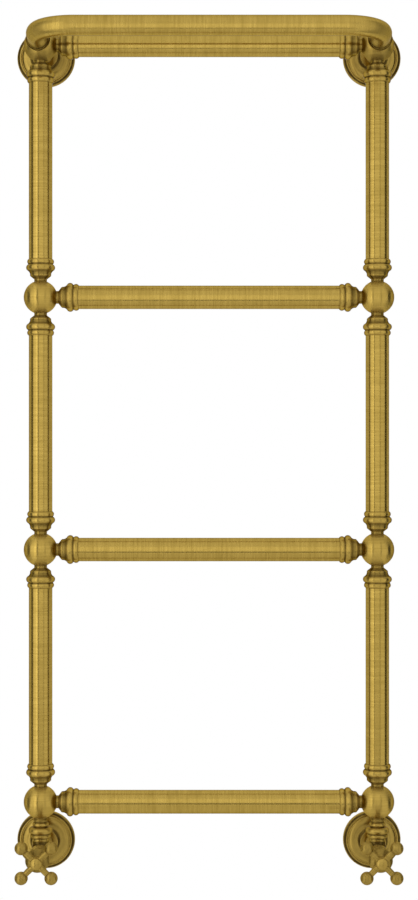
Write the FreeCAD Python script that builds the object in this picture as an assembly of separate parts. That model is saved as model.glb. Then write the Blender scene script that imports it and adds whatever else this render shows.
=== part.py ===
import FreeCAD
import Part
import math
import os

# Wall-hung, water-heated towel rail: posts and rails joined by turned collars and balls,
# a bent towel hoop at the top and an angle valve with a cross handle under each post.
# Millimetres. +Z is up, +X is to the right seen from the room, +Y points into the wall.
# The origin is on the wall face, midway between the two top wall plates.
#
# A turned piece is drawn as an outline of (distance along its axis, radius) points.
# A point with four values is an arc: the (distance, radius) it passes, then the one it ends on.

V = FreeCAD.Vector
UP = V(0, 0, 1)
DOWN = V(0, 0, -1)
FORWARD = V(0, -1, 0)
BACK = V(0, 1, 0)
SIDES = {"left": -1, "right": 1}
ROUND = math.sqrt(0.5)

# Overall layout
post_spacing = 430.0
rail_pitch = 322.0
wall_to_post = 85.0
hoop_reach = 112.0

# Tubes
tube_r = 15.0
tube_wall = 1.5
hoop_r = 12.5
hoop_wall = 1.5
hoop_bend_r = 50.0
water_r = 4.8

# Clearances
thread_gap = 0.1
solder_gap = 0.1
slip_gap = 0.1
running_gap = 0.06
end_room = 1.0

# Ball joints and the threaded nipples in their ports
ball_r = 21.5
nipple_r = 6.58
nipple_grip = 9.0
port_web = 3.2
neck_wall = 1.42
seal_width = 0.9
seal_thick = 1.0

# Turned collar between a ball and a tube, lengths from the ball outwards
neck_len = 3.0
flare_len = 3.5
flare_r = 12.5
shoulder_len = 1.9
shoulder_sag = 0.25
cup_r = 13.5
cup_len = 1.4
cove_len = 4.0
cove_sag = 0.4
bead_len = 8.2
bead_rise = 3.5
groove_len = 0.5
groove_rise = 0.9
ring_len = 6.5
ring_rise = 2.1
spigot_len = 12.0

# Cup-shaped ferrule at each end of the hoop, with a recess in its mouth round the tube
ferrule_len = 17.0
ferrule_bulge = 1.6
ferrule_rise = 2.8
ferrule_rim_len = 3.0
ferrule_recess_width = 1.7
ferrule_recess_len = 2.5
ferrule_spigot_len = 6.0

# Wall plates and bracket stems
plate_thick = 5.0
plate_margin = 2.8
screw_spacing = 36.0
screw_hole_r = 2.75
screw_head_r = 5.2
plate_pin_r = 7.0
plate_pin_len = 18.0
stub_wall = 2.9
grub_r = 2.5
grub_from_plate = 8.0
grub_socket = 2.4
grub_socket_depth = 1.2

# Rosettes, heights from the wall
rose_margin = 12.0
rose_edge = 4.2
rose_rim_width = 5.8
rose_rim_height = 7.6
rose_rim_bulge = 1.0
rose_step_width = 0.8
rose_step_drop = 0.9
rose_shoulder_width = 2.8
rose_shoulder_rise = 2.3
rose_shoulder_bulge = 0.24
rose_dome_width = 6.0
rose_dome_rise = 1.6
rose_dome_bulge = 0.27
rose_cove_rise = 5.2
rose_cove_sag = 1.34
rose_collar_wall = 7.4
rose_collar_len = 7.0
rose_round = 1.2
rose_shell = 1.5
rose_slip = 0.2
rose_seal_set = 6.1
rose_seal_len = 2.0
rose_seal_depth = 1.4

# Union between a bottom ball and its valve, lengths from the ball downwards
tail_neck_len = 5.7
tail_bead_set = 1.2
tail_bead_len = 3.9
tail_bead_rise = 0.9
tail_ring_r = 10.5
tail_ring_len = 5.8
tail_show = 0.5
tail_shank_r = 8.6
tail_flange_r = 11.0
tail_flange_len = 3.2
union_seal_thick = 0.8
nut_gap = 0.2
nut_lip_len = 3.7
nut_wall = 1.1
nut_bead_len = 8.4
nut_bead_rise = 2.9
nut_groove_len = 0.4
nut_ring_len = 4.8
nut_ring_rise = 1.1
nut_clear = 0.3

# Valve bodies, distances forward of the post axis
spud_wall = 5.2
spud_ring_rise = 0.7
spud_ring_len = 3.6
spud_neck_len = 3.1
chamber_r = 9.0
body_wall = 3.5
body_rear = 17.0
boss_wall = 3.8
boss_len = 3.5
boss_round = 1.4
seat_back = 6.0
inlet_bore_r = 5.0
inlet_pin_r = 7.5
inlet_pin_len = 8.0
inlet_thread_r = 10.48
inlet_thread_len = 16.0
inlet_plain_len = 2.0

# Headwork: jumper, stem and bonnet
jumper_gap = 1.2
jumper_thick = 4.0
jumper_pin_r = 2.0
jumper_pin_len = 8.0
jumper_head_r = 3.6
jumper_head_thick = 1.5
jumper_room = 3.0
washer_inset = 0.6
washer_thick = 3.0
seat_gap = 0.1
thread_pitch = 1.5
open_turns = 2.625
stem_thread_r = 5.0
stem_thread_len = 22.0
stem_r = 4.0
stem_play = 0.2
bonnet_grip = 12.0
bonnet_foot_inset = 0.7
bonnet_ring_rise = 0.6
bonnet_ring_len = 4.0
bonnet_waist_len = 21.0
bonnet_waist_sag = 2.2
skirt_r = 15.2
skirt_edge = 2.0
bonnet_nose_len = 6.0
bonnet_nose_r = 7.4
bonnet_nose_bulge = 0.8
gland_from_stop = 6.0
gland_len = 2.4
gland_depth = 1.7

# Cross handles
handle_gap = 0.8
hub_back_r = 6.9
hub_front_r = 7.0
hub_bulge = 0.3
hub_len = 15.0
hub_web = 2.5
arm_set = 8.4
arm_web = 1.2
arm_reach = 26.3
arm_root_r = 4.0
arm_tip_r = 3.8
knob_r = 8.3
cap_dome = 2.6
cap_stud_r = 1.9
cap_stud_len = 8.0

# Air bleed on top of the right top ball
bleed_thread_r = 4.86
bleed_head_flats = 11.0
bleed_head_len = 4.0
bleed_seat_margin = 0.25
bleed_screw_r = 2.4
bleed_screw_set = 7.0
bleed_key_side = 3.2
bleed_key_len = 4.0
bleed_way_r = 1.2

# Places on the frame
post_x = post_spacing / 2
post_y = -wall_to_post
levels = {"top": 0.0, "upper": -rail_pitch, "lower": -2 * rail_pitch, "bottom": -3 * rail_pitch}
post_spans = {"upper": ("top", "upper"), "middle": ("upper", "lower"), "lower": ("lower", "bottom")}

# Distances from a ball's centre along a port
thread_bore_r = nipple_r + thread_gap
neck_r = thread_bore_r + neck_wall
seal_r = thread_bore_r + seal_width
seat = math.sqrt(ball_r**2 - neck_r**2)
port_floor = thread_bore_r + port_web
neck_end = seat + neck_len
nipple_end = seat + nipple_grip
nipple_stop = nipple_end + end_room
flare_end = neck_end + flare_len
shoulder_end = flare_end + shoulder_len
cup_end = shoulder_end + cup_len
bead_start = cup_end + cove_len
bead_end = bead_start + bead_len
ring_start = bead_end + groove_len
collar_end = ring_start + ring_len
ferrule_end = neck_end + ferrule_len
hoop_start = ferrule_end - ferrule_recess_len
bleed_seat_r = bleed_head_flats / math.sqrt(3) + bleed_seat_margin
bleed_flat = math.sqrt(ball_r**2 - bleed_seat_r**2)
bleed_screw_foot = bleed_flat - bleed_screw_set

# Union, from a bottom ball's centre down to the valve's axis
tail_bead_start = seat + tail_bead_set
tail_bead_end = tail_bead_start + tail_bead_len
tail_ring_start = seat + tail_neck_len
tail_ring_end = tail_ring_start + tail_ring_len
nut_start = tail_ring_end + tail_show
flange_start = nut_start + nut_lip_len
flange_end = flange_start + tail_flange_len
union_seal_end = flange_end + union_seal_thick
nut_bead_end = nut_start + nut_bead_len
nut_ring_start = nut_bead_end + nut_groove_len
nut_end = nut_ring_start + nut_ring_len
spud_ring_start = nut_end + nut_clear
spud_ring_end = spud_ring_start + spud_ring_len
body_r = chamber_r + body_wall
valve_drop = spud_ring_end + spud_neck_len + body_r
spud_r = water_r + spud_wall
valve_z = levels["bottom"] - valve_drop

# Headwork, forward of the post axis with the valve closed
lift = thread_pitch * open_turns
washer_start = seat_gap - seat_back
jumper_start = washer_start + washer_thick
jumper_end = jumper_start + jumper_thick
stem_start = jumper_end + stem_play
stem_thread_end = stem_start + stem_thread_len
stem_bore_stop = stem_thread_end + lift + end_room
gland_start = stem_bore_stop + gland_from_stop
gland_end = gland_start + gland_len
stem_bore_r = stem_r + running_gap
gland_r = stem_bore_r + gland_depth
bonnet_start = jumper_end + lift + jumper_room
body_front = bonnet_start + bonnet_grip
bonnet_ring_end = body_front + bonnet_ring_len
skirt_start = bonnet_ring_end + bonnet_waist_len
skirt_end = skirt_start + skirt_edge
bonnet_nose = skirt_end + bonnet_nose_len
hub_back = bonnet_nose + handle_gap
hub_front = hub_back + hub_len
stem_end = hub_front - hub_web
hub_bore_r = stem_r + slip_gap
arm_seat = hub_bore_r + arm_web
jumper_r = chamber_r - jumper_gap

# Wall side
plate_r = screw_spacing / 2 + screw_head_r + plate_margin
plate_bore_r = plate_pin_r + slip_gap
stub_r = plate_bore_r + stub_wall
rose_r = plate_r + rose_margin
rose_rim_r = rose_r - rose_rim_width
rose_shoulder_r = rose_rim_r - rose_step_width
rose_shoulder_base = rose_rim_height - rose_step_drop
rose_dome_r = rose_shoulder_r - rose_shoulder_width
rose_dome_base = rose_shoulder_base + rose_shoulder_rise
rose_cove_r = rose_dome_r - rose_dome_width
rose_cove_base = rose_dome_base + rose_dome_rise
rose_collar_base = rose_cove_base + rose_cove_rise
rose_collar_r = stub_r + rose_collar_wall
rose_collar_top = rose_collar_base + rose_collar_len
rose_bore_r = stub_r + rose_slip
rose_seal_start = rose_collar_top - rose_seal_set
rose_seal_end = rose_seal_start + rose_seal_len


def turned(outline, base=V(0, 0, 0), direction=UP):
    """Solid of revolution from an outline, with distance 0 at base, growing along direction."""
    points = [V(step[-1], 0, step[-2]) for step in outline]
    edges = []
    for index, step in enumerate(outline):
        start = points[index - 1]
        end = points[index]
        if len(step) == 4:
            edges.append(Part.Arc(start, V(step[1], 0, step[0]), end).toShape())
        else:
            edges.append(Part.makeLine(start, end))
    solid = Part.Face(Part.Wire(edges)).revolve(V(0, 0, 0), UP, 360)
    solid.Placement = FreeCAD.Placement(base, FreeCAD.Rotation(UP, direction))
    return solid


def arc(start, end, sag):
    """Outline step for an arc from start to end that bows outwards by sag, or inwards if sag is negative."""
    along = end[0] - start[0]
    across = end[1] - start[1]
    chord = math.hypot(along, across)
    middle = ((start[0] + end[0]) / 2 - across / chord * sag, (start[1] + end[1]) / 2 + along / chord * sag)
    return (*middle, *end)


def round_end(centre, radius, spread):
    """Outline step for a round end: a sphere's arc from the angle spread off the axis to its pole."""
    half = spread / 2
    return (centre + radius * math.cos(half), radius * math.sin(half), centre + radius, 0)


def rod(radius, start, end, base, direction):
    """Plain cylinder from distance start to distance end along direction from base."""
    return Part.makeCylinder(radius, end - start, base + direction * start, direction)


def sleeve(inner_r, outer_r, start, end, base, direction):
    """Plain sleeve, such as a tube, a nipple or a flat seal."""
    outline = [(start, inner_r), (start, outer_r), (end, outer_r), (end, inner_r)]
    return turned(outline, base, direction)


def hexagon(flats, length, base, direction):
    """Hexagonal prism measured across its flats."""
    corner_r = flats / math.sqrt(3)
    turn = FreeCAD.Rotation(UP, direction)
    points = []
    for step in range(7):
        angle = step * math.pi / 3
        points.append(base + turn.multVec(V(corner_r * math.cos(angle), corner_r * math.sin(angle), 0)))
    return Part.Face(Part.makePolygon(points)).extrude(direction * length)


def ball_centre(side, level):
    return V(SIDES[side] * post_x, post_y, levels[level])


def valve_centre(side):
    return V(SIDES[side] * post_x, post_y, valve_z)


def wall_point(side, z):
    return V(SIDES[side] * post_x, 0, z)


def inward(side):
    return V(-SIDES[side], 0, 0)


# Ball joints

def ball_ports(side, level):
    """Directions of one ball's water ports: its rail, what hangs below, and the post above or the hoop."""
    return [inward(side), DOWN, FORWARD if level == "top" else UP]


def ball(side, level):
    """Cross-drilled ball with a flat, a tapped port, a seal recess and a waterway towards each neighbour."""
    centre = ball_centre(side, level)
    wet_ports = ball_ports(side, level)
    dry_ports = [BACK] if level == "top" else []
    solid = Part.makeSphere(ball_r, centre)
    for direction in wet_ports + dry_ports:
        solid = solid.cut(rod(ball_r, seat, ball_r + end_room, centre, direction))
        solid = solid.cut(rod(thread_bore_r, port_floor, seat, centre, direction))
    for direction in wet_ports:
        solid = solid.cut(rod(seal_r, seat - seal_thick, seat, centre, direction))
        solid = solid.cut(rod(water_r, 0, port_floor, centre, direction))
    return solid


def bleed_port(centre):
    """Flat, tapped hole and small waterway for the air bleed in the top of a ball."""
    port = rod(ball_r, bleed_flat, ball_r + end_room, centre, UP)
    port = port.fuse(rod(bleed_thread_r + thread_gap, port_floor, bleed_flat, centre, UP))
    return port.fuse(rod(bleed_way_r, 0, port_floor, centre, UP))


def joint_nipple(centre, direction):
    return sleeve(water_r, nipple_r, port_floor + end_room, nipple_end, centre, direction)


def port_seal(centre, direction):
    return sleeve(thread_bore_r, seal_r - slip_gap, seat - seal_thick, seat, centre, direction)


# Tubes, collars and hoop

def collar(centre, direction):
    """Turned collar: neck on the ball, flared cup, cove, large bead, small ring, spigot inside the tube."""
    groove_r = tube_r + groove_rise
    spigot_r = tube_r - tube_wall - solder_gap
    spigot_end = collar_end + spigot_len
    outline = [
        (seat, thread_bore_r),
        (seat, neck_r),
        (neck_end, neck_r),
        (flare_end, flare_r),
        arc((flare_end, flare_r), (shoulder_end, cup_r), shoulder_sag),
        (cup_end, cup_r),
        arc((cup_end, cup_r), (bead_start, groove_r), -cove_sag),
        ((bead_start + bead_end) / 2, tube_r + bead_rise, bead_end, groove_r),
        (ring_start, groove_r),
        ((ring_start + collar_end) / 2, tube_r + ring_rise, collar_end, tube_r),
        (collar_end, spigot_r),
        (spigot_end, spigot_r),
        (spigot_end, water_r),
        (nipple_stop, water_r),
        (nipple_stop, thread_bore_r),
    ]
    return turned(outline, centre, direction)


def tube(start_ball, end_ball):
    """Tube between the collars of two balls."""
    direction = (end_ball - start_ball).normalize()
    length = start_ball.distanceToPoint(end_ball)
    return sleeve(tube_r - tube_wall, tube_r, collar_end, length - collar_end, start_ball, direction)


def hoop_line():
    """Centre line of the hoop: forward from the left ball, round a bend, across, round a bend and back."""
    z = levels["top"]
    start_y = post_y - hoop_start
    front = post_y - hoop_reach
    bend_y = front + hoop_bend_r
    bend_x = post_x - hoop_bend_r
    middle = hoop_bend_r * ROUND
    points = [
        V(-post_x, start_y, z),
        V(-post_x, bend_y, z),
        V(-bend_x - middle, bend_y - middle, z),
        V(-bend_x, front, z),
        V(bend_x, front, z),
        V(bend_x + middle, bend_y - middle, z),
        V(post_x, bend_y, z),
        V(post_x, start_y, z),
    ]
    edges = [
        Part.makeLine(points[0], points[1]),
        Part.Arc(points[1], points[2], points[3]).toShape(),
        Part.makeLine(points[3], points[4]),
        Part.Arc(points[4], points[5], points[6]).toShape(),
        Part.makeLine(points[6], points[7]),
    ]
    return Part.Wire(edges), points[0]


def towel_hoop():
    line, start = hoop_line()
    skins = []
    for radius in (hoop_r, hoop_r - hoop_wall):
        section = Part.Wire(Part.makeCircle(radius, start, FORWARD))
        skins.append(line.makePipeShell([section], True, False))
    return skins[0].cut(skins[1])


def hoop_ferrule(side):
    """Cup that joins the hoop to a ball: neck, round bowl, rim, recess, spigot inside the tube."""
    rim_r = hoop_r + ferrule_rise
    rim_start = ferrule_end - ferrule_rim_len
    recess_r = hoop_r + ferrule_recess_width
    spigot_r = hoop_r - hoop_wall - solder_gap
    spigot_end = hoop_start + ferrule_spigot_len
    outline = [
        (seat, thread_bore_r),
        (seat, neck_r),
        (neck_end, neck_r),
        arc((neck_end, neck_r), (rim_start, rim_r), ferrule_bulge),
        (ferrule_end, rim_r),
        (ferrule_end, recess_r),
        (hoop_start, recess_r),
        (hoop_start, spigot_r),
        (spigot_end, spigot_r),
        (spigot_end, water_r),
        (nipple_stop, water_r),
        (nipple_stop, thread_bore_r),
    ]
    return turned(outline, ball_centre(side, "top"), FORWARD)


# Wall brackets and rosettes

def wall_plate(side):
    """Disc on the wall with two countersunk screw holes and the pin that carries the bracket stem."""
    base = wall_point(side, levels["top"])
    pin_end = plate_thick + plate_pin_len
    outline = [
        (0, 0),
        (0, plate_r),
        (plate_thick, plate_r),
        (plate_thick, plate_pin_r),
        (pin_end, plate_pin_r),
        (pin_end, 0),
    ]
    plate = turned(outline, base, FORWARD)
    sink_depth = screw_head_r - screw_hole_r
    for sign in (-1, 1):
        hole = base + UP * (sign * screw_spacing / 2)
        sink = hole + FORWARD * (plate_thick - sink_depth)
        plate = plate.cut(rod(screw_hole_r, 0, plate_thick, hole, FORWARD))
        plate = plate.cut(Part.makeCone(screw_hole_r, screw_head_r, sink_depth, sink, FORWARD))
    return plate


def grub_base(side):
    """Point on a bracket stem's axis above its grub screw."""
    return wall_point(side, levels["top"]) + FORWARD * (plate_thick + grub_from_plate)


def bracket_stem(side):
    """Stem from a top ball to its wall plate: stud, neck, plain stub, and a socket for the plate's pin."""
    stub_start = neck_end + stub_r - neck_r
    stub_end = wall_to_post - plate_thick
    socket_floor = stub_end - plate_pin_len - end_room
    outline = [
        (port_floor + end_room, 0),
        (port_floor + end_room, nipple_r),
        (seat, nipple_r),
        (seat, neck_r),
        (neck_end, neck_r),
        (stub_start, stub_r),
        (stub_end, stub_r),
        (stub_end, plate_bore_r),
        (socket_floor, plate_bore_r),
        (socket_floor, 0),
    ]
    stem = turned(outline, ball_centre(side, "top"), BACK)
    return stem.cut(rod(grub_r, 0, stub_r + end_room, grub_base(side), DOWN))


def grub_screw(side):
    """Set screw that grips the plate's pin, with a hexagon socket in its outer end."""
    base = grub_base(side)
    head = stub_r - slip_gap
    screw = rod(grub_r - slip_gap, plate_pin_r, head, base, DOWN)
    socket_floor = base + DOWN * (head - grub_socket_depth)
    return screw.cut(hexagon(grub_socket, grub_socket_depth, socket_floor, DOWN))


def rosette(side, z):
    """Cover on the wall: high rim, small step, shoulder, flat dome, cove up to a collar round the stub."""
    bends = [
        (rose_shoulder_base, rose_shoulder_r),
        (rose_dome_base, rose_dome_r),
        (rose_cove_base, rose_cove_r),
        (rose_collar_base, rose_collar_r),
    ]
    sags = [rose_shoulder_bulge, rose_dome_bulge, -rose_cove_sag]
    inner = [(height - rose_shell, radius - rose_shell) for height, radius in bends]
    face = [arc(bends[index], bends[index + 1], sag) for index, sag in enumerate(sags)]
    back = [arc(inner[index + 1], inner[index], -sag) for index, sag in enumerate(sags)]
    seal_bore_r = rose_bore_r + rose_seal_depth
    round_drop = rose_round * (1 - ROUND)
    outline = [
        (0, rose_r - rose_shell),
        (0, rose_r),
        (rose_edge, rose_r),
        arc((rose_edge, rose_r), (rose_rim_height, rose_rim_r), rose_rim_bulge),
        (rose_shoulder_base, rose_rim_r),
        bends[0],
        *face,
        (rose_collar_top - rose_round, rose_collar_r),
        (
            rose_collar_top - round_drop,
            rose_collar_r - round_drop,
            rose_collar_top,
            rose_collar_r - rose_round,
        ),
        (rose_collar_top, rose_bore_r),
        (rose_seal_end, rose_bore_r),
        (rose_seal_end, seal_bore_r),
        (rose_seal_start, seal_bore_r),
        (rose_seal_start, rose_collar_r - rose_shell),
        inner[-1],
        *reversed(back),
        (inner[0][0], rose_rim_r - rose_shell),
        (rose_edge, rose_r - rose_shell),
    ]
    return turned(outline, wall_point(side, z), FORWARD)


def rosette_seal(side, z):
    """Ring in a rosette's collar that grips the stub."""
    outer_r = rose_bore_r + rose_seal_depth - slip_gap
    return sleeve(stub_r + running_gap, outer_r, rose_seal_start, rose_seal_end, wall_point(side, z), FORWARD)


# Valves

def valve_body(side):
    """Angle body: inlet from the wall, seat, chamber, and a spud up to the union."""
    centre = valve_centre(side)
    boss_r = inlet_pin_r + thread_gap + boss_wall
    boss_end = boss_len - body_rear
    round_end = boss_end + boss_round
    outline = [
        (-body_rear, 0),
        (-body_rear, boss_r),
        (boss_end, boss_r),
        arc((boss_end, boss_r), (round_end, body_r), boss_round * (1 - ROUND)),
        (body_front, body_r),
        (body_front, 0),
    ]
    spud_outline = [
        (union_seal_end, 0),
        (union_seal_end, spud_r),
        (spud_ring_start, spud_r),
        ((spud_ring_start + spud_ring_end) / 2, spud_r + spud_ring_rise, spud_ring_end, spud_r),
        (valve_drop, spud_r),
        (valve_drop, 0),
    ]
    body = turned(outline, centre, FORWARD)
    body = body.fuse(turned(spud_outline, ball_centre(side, "bottom"), DOWN))
    body = body.cut(rod(inlet_pin_r + thread_gap, -body_rear, inlet_pin_len - body_rear, centre, FORWARD))
    body = body.cut(rod(inlet_bore_r, -body_rear, 0, centre, FORWARD))
    body = body.cut(rod(chamber_r, -seat_back, body_front, centre, FORWARD))
    return body.cut(rod(water_r, 0, valve_drop - union_seal_end, centre, UP))


def valve_tail(side):
    """Turned tail from a bottom ball to the union, with the flange that the nut pulls down."""
    outline = [
        (seat, thread_bore_r),
        (seat, neck_r),
        (tail_bead_start, neck_r),
        ((tail_bead_start + tail_bead_end) / 2, neck_r + tail_bead_rise, tail_bead_end, neck_r),
        (tail_ring_start, neck_r),
        ((tail_ring_start + tail_ring_end) / 2, tail_ring_r, tail_ring_end, tail_shank_r),
        (flange_start, tail_shank_r),
        (flange_start, tail_flange_r),
        (flange_end, tail_flange_r),
        (flange_end, water_r),
        (nipple_stop, water_r),
        (nipple_stop, thread_bore_r),
    ]
    return turned(outline, ball_centre(side, "bottom"), DOWN)


def union_nut(side):
    """Turned nut with a large bead and a small ring that holds the tail on the valve's spud."""
    hole_r = tail_shank_r + nut_gap
    room_r = tail_flange_r + nut_gap
    groove_r = room_r + nut_wall
    outline = [
        (nut_start, hole_r),
        (nut_start, groove_r),
        ((nut_start + nut_bead_end) / 2, groove_r + nut_bead_rise, nut_bead_end, groove_r),
        (nut_ring_start, groove_r),
        ((nut_ring_start + nut_end) / 2, groove_r + nut_ring_rise, nut_end, groove_r),
        (nut_end, spud_r + thread_gap),
        (union_seal_end, spud_r + thread_gap),
        (union_seal_end, room_r),
        (flange_start, room_r),
        (flange_start, hole_r),
    ]
    return turned(outline, ball_centre(side, "bottom"), DOWN)


def union_seal(side):
    centre = ball_centre(side, "bottom")
    return sleeve(water_r, spud_r - slip_gap, flange_end, union_seal_end, centre, DOWN)


def inlet_pipe(side):
    """Pipe from the wall into a valve: tapped-in pin, plain stub, threaded end behind the wall face."""
    pin_end = body_rear - inlet_pin_len + end_room
    thread_start = wall_to_post + inlet_plain_len
    thread_end = thread_start + inlet_thread_len
    outline = [
        (pin_end, inlet_bore_r),
        (pin_end, inlet_pin_r),
        (body_rear, inlet_pin_r),
        (body_rear, stub_r),
        (thread_start, stub_r),
        (thread_start, inlet_thread_r),
        (thread_end, inlet_thread_r),
        (thread_end, inlet_bore_r),
    ]
    return turned(outline, valve_centre(side), BACK)


def bonnet(side):
    """Bell-shaped headwork screwed into the body, bored for the stem and its gland seal."""
    foot_r = body_r - bonnet_foot_inset
    grip_r = chamber_r - thread_gap
    screw_bore_r = stem_thread_r + running_gap
    outline = [
        (bonnet_start, screw_bore_r),
        (bonnet_start, grip_r),
        (body_front, grip_r),
        (body_front, foot_r),
        ((body_front + bonnet_ring_end) / 2, body_r + bonnet_ring_rise, bonnet_ring_end, foot_r),
        arc((bonnet_ring_end, foot_r), (skirt_start, skirt_r), -bonnet_waist_sag),
        (skirt_end, skirt_r),
        arc((skirt_end, skirt_r), (bonnet_nose, bonnet_nose_r), bonnet_nose_bulge),
        (bonnet_nose, stem_bore_r),
        (gland_end, stem_bore_r),
        (gland_end, gland_r),
        (gland_start, gland_r),
        (gland_start, stem_bore_r),
        (stem_bore_stop, stem_bore_r),
        (stem_bore_stop, screw_bore_r),
    ]
    return turned(outline, valve_centre(side), FORWARD)


def gland_seal(side):
    return sleeve(stem_bore_r, gland_r - slip_gap, gland_start, gland_end, valve_centre(side), FORWARD)


def jumper(side):
    """Disc that closes the seat, with a head through its washer and a pin that turns freely in the stem."""
    head_start = washer_start - jumper_head_thick
    pin_end = jumper_end + jumper_pin_len
    outline = [
        (head_start, 0),
        (head_start, jumper_head_r),
        (washer_start, jumper_head_r),
        (washer_start, jumper_pin_r),
        (jumper_start, jumper_pin_r),
        (jumper_start, jumper_r),
        (jumper_end, jumper_r),
        (jumper_end, jumper_pin_r),
        (pin_end, jumper_pin_r),
        (pin_end, 0),
    ]
    return turned(outline, valve_centre(side), FORWARD)


def seat_washer(side):
    outer_r = jumper_r - washer_inset
    return sleeve(jumper_pin_r, outer_r, washer_start, jumper_start, valve_centre(side), FORWARD)


def valve_stem(side):
    """Spindle: screwed length inside the bonnet, plain shank through the gland, tapped outer end."""
    pin_bore_r = jumper_pin_r + running_gap
    pin_bore_end = jumper_end + jumper_pin_len + end_room
    tap_r = cap_stud_r + thread_gap
    tap_floor = hub_front - cap_stud_len - end_room
    outline = [
        (stem_start, pin_bore_r),
        (stem_start, stem_thread_r),
        (stem_thread_end, stem_thread_r),
        (stem_thread_end, stem_r),
        (stem_end, stem_r),
        (stem_end, tap_r),
        (tap_floor, tap_r),
        (tap_floor, 0),
        (pin_bore_end, 0),
        (pin_bore_end, pin_bore_r),
    ]
    return turned(outline, valve_centre(side), FORWARD)


def arm_lines(side):
    """Point on the stem's axis and outward direction of each of a handle's four diagonal arms."""
    plane = valve_centre(side) + FORWARD * (hub_back + arm_set)
    lines = []
    for quarter in range(4):
        angle = math.pi / 4 + quarter * math.pi / 2
        lines.append((plane, V(math.cos(angle), 0, math.sin(angle))))
    return lines


def handle_hub(side):
    """Bulged hub of a cross handle, bored for the stem and the cap, with a flat socket for each arm."""
    centre = valve_centre(side)
    outline = [
        (hub_back, 0),
        (hub_back, hub_back_r),
        arc((hub_back, hub_back_r), (hub_front, hub_front_r), hub_bulge),
        (hub_front, 0),
    ]
    hub = turned(outline, centre, FORWARD)
    for plane, outwards in arm_lines(side):
        hub = hub.cut(rod(arm_root_r + solder_gap, arm_seat, hub_front_r + end_room, plane, outwards))
    hub = hub.cut(rod(hub_bore_r, hub_back, stem_end, centre, FORWARD))
    return hub.cut(rod(cap_stud_r + thread_gap, stem_end, hub_front, centre, FORWARD))


def handle_arm(plane, outwards):
    """Tapered arm that ends in a round knob and is brazed into a socket of the hub."""
    knob_start = arm_reach - math.sqrt(knob_r**2 - arm_tip_r**2)
    outline = [
        (arm_seat, 0),
        (arm_seat, arm_root_r),
        (knob_start, arm_tip_r),
        round_end(arm_reach, knob_r, math.pi - math.asin(arm_tip_r / knob_r)),
    ]
    return turned(outline, plane, outwards)


def handle_cap(side):
    """Domed screw cap on the front of a handle, which holds the handle on its stem."""
    stud_end = hub_front - cap_stud_len
    dome_r = (hub_front_r**2 + cap_dome**2) / (2 * cap_dome)
    dome_centre = hub_front + cap_dome - dome_r
    outline = [
        (stud_end, 0),
        (stud_end, cap_stud_r),
        (hub_front, cap_stud_r),
        (hub_front, hub_front_r),
        round_end(dome_centre, dome_r, math.atan2(hub_front_r, dome_r - cap_dome)),
    ]
    return turned(outline, valve_centre(side), FORWARD)


# Air bleed

def bleed_plug():
    """Hexagon plug screwed into the top of the right top ball, bored for its screw."""
    centre = ball_centre("right", "top")
    head_end = bleed_flat + bleed_head_len
    foot = port_floor + end_room
    plug = hexagon(bleed_head_flats, bleed_head_len, centre + UP * bleed_flat, UP)
    plug = plug.fuse(rod(bleed_thread_r, foot, bleed_flat, centre, UP))
    plug = plug.cut(rod(bleed_screw_r + running_gap, bleed_screw_foot, head_end, centre, UP))
    return plug.cut(rod(bleed_way_r, foot, bleed_screw_foot, centre, UP))


def bleed_screw():
    """Air screw with a square head for a key."""
    centre = ball_centre("right", "top")
    shank_end = bleed_flat + bleed_head_len
    corner = centre + V(-bleed_key_side / 2, -bleed_key_side / 2, shank_end)
    screw = rod(bleed_screw_r, bleed_screw_foot + seat_gap, shank_end, centre, UP)
    return screw.fuse(Part.makeBox(bleed_key_side, bleed_key_side, bleed_key_len, corner))


# All pieces by name

def wet_joints():
    """Centre and direction of every ball port that carries water to a neighbour."""
    joints = []
    for side in SIDES:
        for level in levels:
            joints += [(ball_centre(side, level), port) for port in ball_ports(side, level)]
    return joints


def side_pieces(side):
    """Pieces that stand once on each side of the rail."""
    made = {f"{side}_{level}_ball": ball(side, level) for level in levels}
    for name, (above, below) in post_spans.items():
        start = ball_centre(side, above)
        end = ball_centre(side, below)
        made[f"{side}_{name}_post"] = tube(start, end)
        made[f"{side}_{name}_post_collars"] = [collar(start, DOWN), collar(end, UP)]
    made[f"{side}_bracket_rosette"] = rosette(side, levels["top"])
    made[f"{side}_pipe_rosette"] = rosette(side, valve_z)
    made[f"{side}_valve_body"] = valve_body(side)
    made[f"{side}_bonnet"] = bonnet(side)
    made[f"{side}_jumper"] = jumper(side)
    made[f"{side}_seat_washer"] = seat_washer(side)
    made[f"{side}_valve_stem"] = valve_stem(side)
    made[f"{side}_handle_hub"] = handle_hub(side)
    made[f"{side}_handle_arms"] = [handle_arm(*line) for line in arm_lines(side)]
    made[f"{side}_handle_cap"] = handle_cap(side)
    return made


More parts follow.
